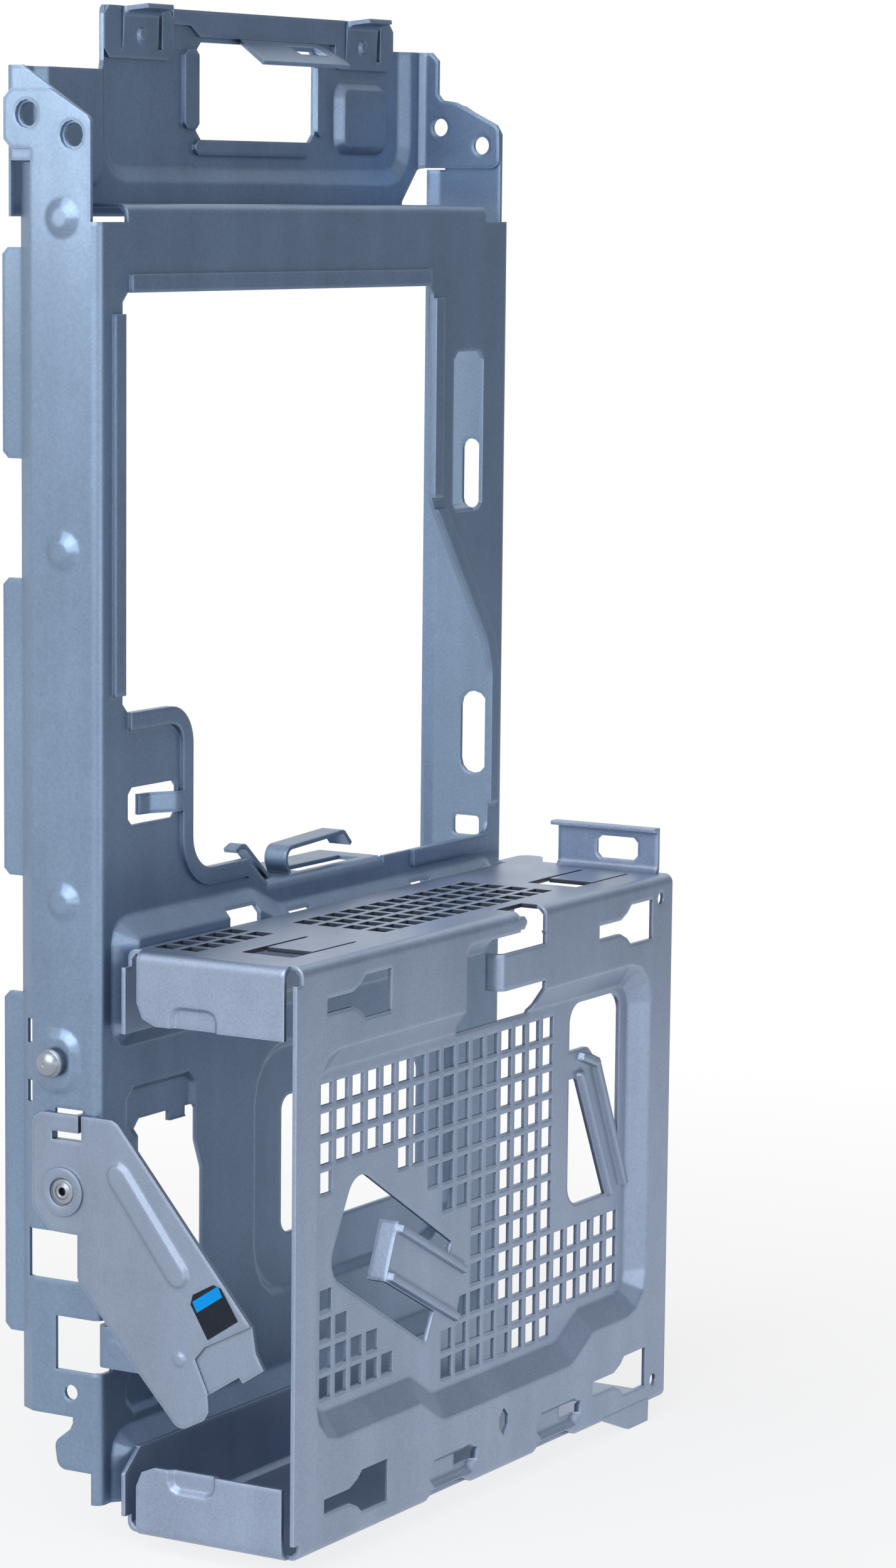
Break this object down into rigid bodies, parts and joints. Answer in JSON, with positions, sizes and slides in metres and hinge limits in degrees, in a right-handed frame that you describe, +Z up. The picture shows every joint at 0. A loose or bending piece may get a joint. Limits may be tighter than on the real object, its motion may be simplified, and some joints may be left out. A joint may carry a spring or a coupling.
{
  "type": "hard drive expansion module",
  "caption": "Folded steel drive mounting frame: windowed upright panel with side flanges, perforated drive cage low in front, top bracket and a pivoting latch lever.",
  "frame": {"origin": "middle of the footprint at the lowest point of the whole part", "axes": "+Z up along the panel, -Y towards the side with the drive cage, +X towards the cage's open right end"},
  "size_m": [0.1912, 0.0784, 0.3474],
  "materials": {
    "frame_steel": "galvanised, fine grain",
    "bracket_steel": "galvanised, fine grain",
    "cage_steel": "galvanised, fine grain",
    "lever_steel": "galvanised, fine grain",
    "rivet_steel": "plated, smooth",
    "stud_steel": "plated, smooth",
    "tag": "matt print with a plain blue stripe"
  },
  "bodies": {
    "frame": {"main_frame": "frame_steel", "upper_bracket": "bracket_steel", "drive_cage": "cage_steel", "lever_pivot": "rivet_steel", "guide_stud": "stud_steel"},
    "lever": {"latch_lever": "lever_steel", "lever_tag": "tag"}
  },
  "joints": [
    {"name": "lever_hinge", "type": "hinge", "parent": "frame", "child": "lever", "pos_m": [-0.09035, 0.0202, 0.0824], "axis": [-1, 0, 0], "range_deg": [0, 18]}
  ]
}
